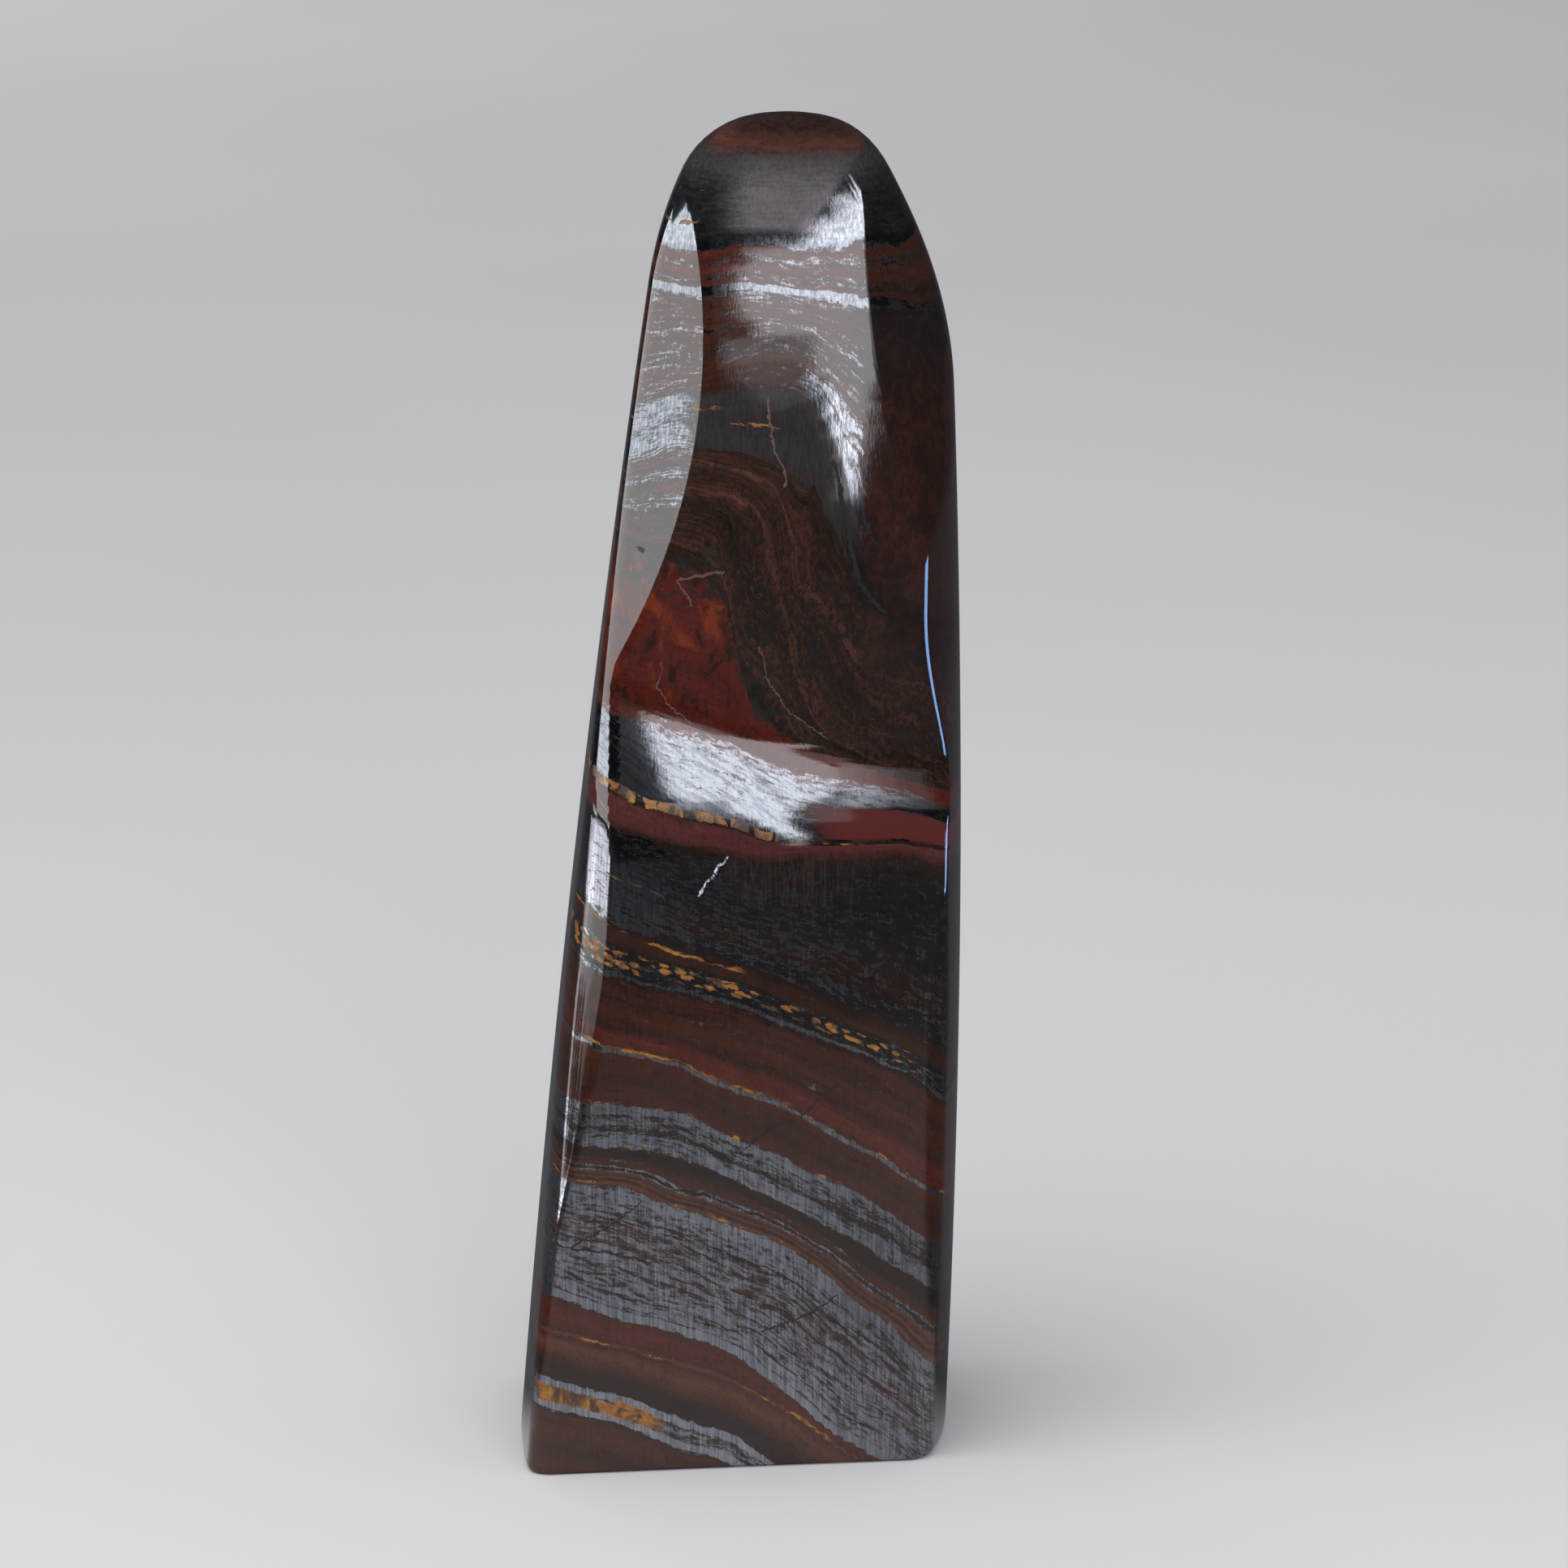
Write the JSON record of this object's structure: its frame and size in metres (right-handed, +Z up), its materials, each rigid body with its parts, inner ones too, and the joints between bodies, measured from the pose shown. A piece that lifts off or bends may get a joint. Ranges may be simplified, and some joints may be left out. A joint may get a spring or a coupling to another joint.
{
  "type": "banded ironstone tower",
  "caption": "Polished free-standing tower of banded ironstone with a flat sawn base, ground faces, a sloping ledge across its front and a rounded crown.",
  "frame": {"origin": "bottom centre of the bounding box, on the flat sawn base", "axes": "+Z up, along the tower; -Y towards the front, the face with the ledge; +X to the right as seen from the front"},
  "size_m": [0.0374, 0.032, 0.1121],
  "materials": {
    "ironstone": "polished"
  },
  "bodies": {
    "root": {"ironstone_tower": "ironstone"}
  },
  "joints": []
}
